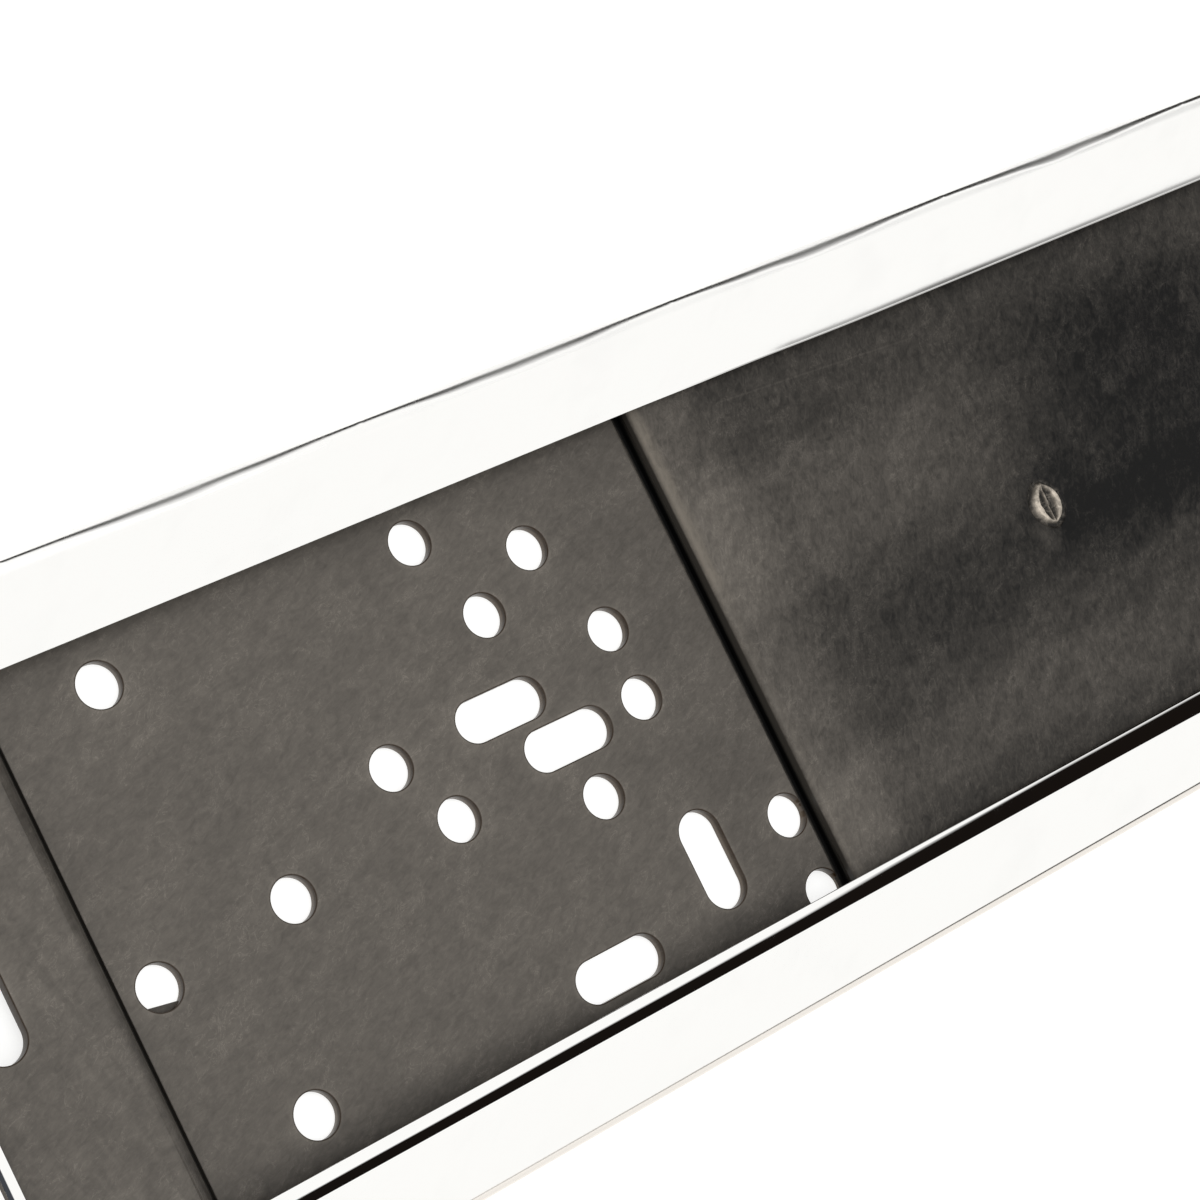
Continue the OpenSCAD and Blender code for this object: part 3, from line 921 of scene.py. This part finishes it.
class HOLDER_OT_backing_plate(bpy.types.Operator):
    """Builds the black moulding with its softened edges and the mark of its gate"""
    bl_idname = "holder.backing_plate"
    bl_label = "Backing plate"

    def execute(self, context):
        sizes, gate = context.scene.holder_moulding, context.scene.holder_gate
        piece = edged_moulding(sizes)
        outline = circle(64, gate.dish[0] - PLUG_RIM) + np.array(gate.place)
        seat = capped_rings("gate_seat", [at_height(outline, sizes.raised + height)
                                          for height in (-SEAT_DEPTH, PAST)])
        carve(piece, seat, "DIFFERENCE")
        carve(piece, gate_plug(sizes, gate), "UNION")
        mark_faces(piece, sizes, gate)
        piece.data.materials.clear()
        piece.data.materials.append(black_moulding(context.scene.holder_plastic, sizes, gate))
        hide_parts("backing_plate")
        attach(piece, "root")
        return {"FINISHED"}


def distance_to(x, y, place=(0, 0)):
    """The distance in the plane to a place, all in millimetres."""
    across, up = x - place[0], y - place[1]
    return (across * across + up * up) ** 0.5


def near_holes(x, y):
    """The distance to the edge of the nearest hole or slot, in millimetres."""
    nearest = None
    for hole_x, hole_y, radius, length, crosswise in openings():
        across, up = abs(x) - hole_x, y - hole_y
        if crosswise:
            across, up = up, across
        if length:
            across = (abs(across) - (length / 2 - radius)).larger(0)
        distance = distance_to(across, up) - radius
        nearest = nearest.smaller(distance) if nearest else distance
    return nearest


def middle_tone(nodes, place, x, y):
    """How light the middle panel is, in display tones: it darkens to the right, most of all above
    the middle, between light streaks that run along the holder."""
    drift = nodes.noise(place, 12, detail=3, rough=0.6, turn=4, scale=(3, 1, 1))
    level = y + 13 * (drift - 0.5) - 0.03 * x
    left = x.fade(-60, -77)
    dark_side = (x + 16 * (drift - 0.5)).fade(-22, 34) * x.fade(90, 50)
    streak = level.band(13, 27, 10) * x.fade(25, -40)
    low_streak = level.band(-38, -30, 6)
    shadow = level.band(-13, -6, 9) * x.fade(-74, -30)
    corner = dark_side * level.band(-2, 28, 16)
    return (0.61 + 0.18 * left + 0.12 * streak + 0.08 * low_streak - 0.11 * shadow
            - 0.16 * corner - 0.04 * dark_side)


def black_moulding(look, sizes, gate):
    """Black plastic, scuffed grey on its open faces: a fine fibrous mottle, clouds, light scuffs
    near the holes, streaks and a hairline on the middle panel, waves of flow on the end panels,
    worn edges along the middle panel, and the torn gate mark in a patch of painted shade with a
    painted highlight below it, as the dish round it would be lit. Painted shade also darkens the
    open panels along the lower rail, the end panels' inner edges, the web low in its hole, a thin
    line round each hole, the grooves and the gate's pit and moat. The amounts are display tones.
    The power of gamma makes them light, less what gloss adds."""
    material, nodes = new_finish("black_moulding")
    place = nodes.millimetres()
    x, y, z = nodes.split(place)
    steep, wall, torn, pitted = (nodes.own(name) for name in ("steep", "wall", "torn", "pitted"))
    inset = sizes.middle_half / MM - abs(x)
    past_end = abs(x) - sizes.end_from / MM
    raised = z.fade(2.6, 3.4)
    middle = inset.fade(-1.5, 0.5) * raised
    # Painted shade: the grooves beside the middle panel, low down, take a nearly black colour
    groove = inset.band(-0.5, 0.1, 0.5) * z.fade(3.1, 1.9)
    end = past_end.fade(-1.1, 0.4) * raised

    mottle = nodes.noise(place, 2.0, detail=5, rough=0.72, warp=0.6)
    strokes = nodes.noise(place, 1.1, detail=5, rough=0.72, warp=1, turn=20, scale=(2.4, 1, 1))
    upright = nodes.noise(place, 1.2, detail=5, rough=0.72, warp=1, turn=66, scale=(2, 1, 1))
    blotch = nodes.noise(place, 5, detail=4, rough=0.65, warp=0.8, turn=25, scale=(2, 1, 1))
    clouds = nodes.noise(place, 15, detail=4, rough=0.6, turn=18, scale=(2.2, 1, 1))
    fibres = strokes + middle * (upright - strokes)
    nearest = near_holes(x, y)
    halo = nearest.fade(4.5, 0.3) * clouds.fade(0.38, 0.62) + nearest.fade(1.1, 0.3)

    # Painted shade: the open panels darken towards the lower rail, under its lip
    panel_tone = (PANEL_TONE + 0.1 * (clouds - 0.5) - 0.12 * y.fade(-41, -48)
                  - 0.06 * x.fade(-125, -95))
    flow = nodes.noise(place, 3.2, detail=2, rough=0.5, warp=1.2, turn=12, scale=(1, 6, 1))
    tone = panel_tone + middle * (middle_tone(nodes, place, x, y) - panel_tone)
    # Besides the flow's waves, painted shade darkens each end panel within about 4 mm of its inner
    # edge, where the edge rounds off
    tone = tone + end * (0.16 * (flow - 0.5) - 0.16 * past_end.fade(3.9, 0.4))
    grain = 0.46 * (fibres - 0.5) + 0.26 * (mottle - 0.5) + 0.24 * (blotch - 0.5)
    tone = tone + grain * (0.68 + 0.36 * middle) + 0.05 * halo
    # Painted shade: darker low down, on the web of flash in its hole
    tone = tone - 0.2 * z.fade(1.6, 1.1)
    fleck = nodes.noise(place, 2.4, detail=4, rough=0.6, warp=1.5, turn=38, scale=(1.6, 1, 1))
    tone = tone + 0.12 * abs(fleck - 0.5).fade(0.02, 0.004) * blotch.fade(0.45, 0.6)
    gate_x, gate_y = x - gate.place[0] / MM, y - gate.place[1] / MM
    # Painted shade to the right of the gate and a painted highlight below and left of it, as the
    # dish round the mark would be lit
    painted_dish_shade = distance_to(gate_x, gate_y, (3, 1)).fade(15, 4)
    painted_dish_light = distance_to(gate_x, gate_y, (-3.4, -5.2)).fade(5.5, 1)
    hairline = abs(y - 43.6 + 0.0596 * (x + 63.8)).fade(0.3, 0.05) * x.band(-62, -15, 3)
    tone = tone - 0.1 * painted_dish_shade + 0.2 * painted_dish_light + 0.06 * hairline
    light = (tone ** GAMMA - GLOSS).larger(0.01) / (PANEL_TONE ** GAMMA - GLOSS)
    base = nodes.shade(look.panel, light)

    edge_noise = nodes.noise(place, 1.6, detail=3, rough=0.6, turn=90, scale=(5, 1, 1))
    width = 1.9 + 3.4 * (edge_noise - 0.5)
    worn = ((inset - width).fade(1.7, -1.3) * inset.fade(-0.2, 0.5) * middle
            * (0.22 + 0.78 * y.fade(5, 16)) * (0.2 + 1.2 * fibres).smaller(1))
    hole = wall * nearest.fade(1.2, 0.5)
    # Painted shade: a thin dark line at each hole's softened upper edge
    rim = nearest.fade(0.32, 0.14) * nearest.fade(-0.5, -0.2) * z.fade(0.8, 1.8)
    for mask, coat, strength in (
            (worn, look.worn, 1), (steep, look.clean, 1), (hole, look.hole_wall, 0.5 + strokes),
            (rim * (0.85 + 0.8 * (mottle - 0.5)), look.rim, 1), (groove, look.groove, 1),
            # Painted shade: the gate's pit and moat in a dark copy of the torn colour
            (pitted, look.torn, 0.03 + 0.4 * mottle.fade(0.42, 0.75)),
            (torn, look.torn, 0.55 + 1.25 * mottle.fade(0.32, 0.8))):
        base = nodes.blend(mask, base, nodes.shade(coat, strength))
    roughness = look.roughness + 0.16 * (fibres - 0.5) - 0.16 * steep + 0.04 * middle
    normal = nodes.bump(fibres * 0.02 + mottle * 0.012, 1 * MM)
    end_finish(nodes, Base_Color=base, Roughness=roughness, Normal=normal, Specular_IOR_Level=0.17)
    return material


class HOLDER_OT_stage(bpy.types.Operator):
    """Sets up the floor, the white studio with its dark side, the lamp and the camera"""
    bl_idname = "holder.stage"
    bl_label = "Stage"

    def execute(self, context):
        settings = context.scene.holder_stage
        studio_floor(settings)
        studio_sky(settings, context.scene.world or bpy.data.worlds.new("studio"))
        lamp = bpy.data.lights.new("soft_lamp", "AREA")
        lamp.energy = settings.lamp
        lamp.size = settings.lamp_size
        hung = bpy.data.objects.new("soft_lamp", lamp)
        hung.location = settings.lamp_place
        camera = bpy.data.cameras.new("camera")
        camera.lens = settings.lens
        camera.clip_start = 0.01
        eye = bpy.data.objects.new("camera", camera)
        eye.location = settings.camera_place
        eye.rotation_euler = settings.camera_turn
        for made in (hung, eye):
            context.scene.collection.objects.link(made)
        context.scene.camera = eye
        context.scene.view_settings.view_transform = "Standard"
        return {"FINISHED"}


def studio_floor(settings):
    """A round pale floor, just under the holder's back, lit a little from within."""
    points = at_height(circle(64, settings.floor_radius), CAD_LOW.z - settings.floor_gap)
    mesh = bpy.data.meshes.new("floor")
    mesh.from_pydata(points.tolist(), [], [list(range(len(points)))])
    material, nodes = new_finish("pale_floor")
    end_finish(nodes, Base_Color=settings.floor_colour, Roughness=0.9, Specular_IOR_Level=0,
               Emission_Color=(1.0, 1.0, 0.99), Emission_Strength=settings.floor_glow)
    mesh.materials.append(material)
    new_piece("floor", mesh)


def studio_sky(settings, world):
    """White all round, apart from one dark side. Its top edge is highest at its peak azimuth,
    falls as the square of the turn before it and evenly after it, and is soft. The camera itself
    sees white everywhere."""
    bpy.context.scene.world = world
    world.use_nodes = True
    nodes = Nodes(world.node_tree)
    x, y, z = nodes.split(nodes.add("TexCoord", output="Generated"))
    azimuth = y.math("ARCTAN2", x)
    edge = math.radians(2)
    side = azimuth.band(settings.flag_from, settings.flag_to, edge)
    before = (settings.flag_peak - azimuth).larger(0)
    after = (azimuth - settings.flag_peak).larger(0)
    top = settings.flag_top - before * before - 0.18 * after
    dark = side * (z - top).fade(0.035, -0.035)
    seen = nodes.add("LightPath", output="Is Camera Ray")
    shade = nodes.blend(azimuth.fade(0.0, 0.3), settings.flag_right, settings.flag_left)
    colour = nodes.blend(dark * (1 - seen), settings.sky_colour, shade)
    light = nodes.add("Background", {}, {"Color": colour, "Strength": settings.sky})
    nodes.add("OutputWorld", {}, {"Surface": light})


class HOLDER_PT_sidebar(bpy.types.Panel):
    """Lists the pieces of the number plate holder and their settings"""
    bl_idname = "HOLDER_PT_sidebar"
    bl_label = "Plate holder"
    bl_space_type = "VIEW_3D"
    bl_region_type = "UI"
    bl_category = "Plate holder"

    def draw(self, context):
        for group in SETTINGS:
            settings = getattr(context.scene, group)
            box = self.layout.box()
            for name in settings.__annotations__:
                box.prop(settings, name)
        for operator in OPERATORS:
            self.layout.operator(operator.bl_idname)


SETTINGS = {"holder_surround": SurroundSizes, "holder_moulding": MouldingSizes,
            "holder_gate": GateSizes, "holder_metal": MetalLook, "holder_plastic": PlasticLook,
            "holder_stage": StageSettings}
OPERATORS = (HOLDER_OT_surround, HOLDER_OT_backing_plate, HOLDER_OT_stage)
CLASSES = (*SETTINGS.values(), *OPERATORS, HOLDER_PT_sidebar)


def register():
    for made in CLASSES:
        bpy.utils.register_class(made)
    for name, group in SETTINGS.items():
        setattr(bpy.types.Scene, name, bpy.props.PointerProperty(type=group))


def unregister():
    for name in SETTINGS:
        delattr(bpy.types.Scene, name)
    for made in reversed(CLASSES):
        bpy.utils.unregister_class(made)


def main():
    register()
    bpy.ops.holder.surround()
    bpy.ops.holder.backing_plate()
    bpy.ops.holder.stage()


if __name__ == "__main__":
    main()
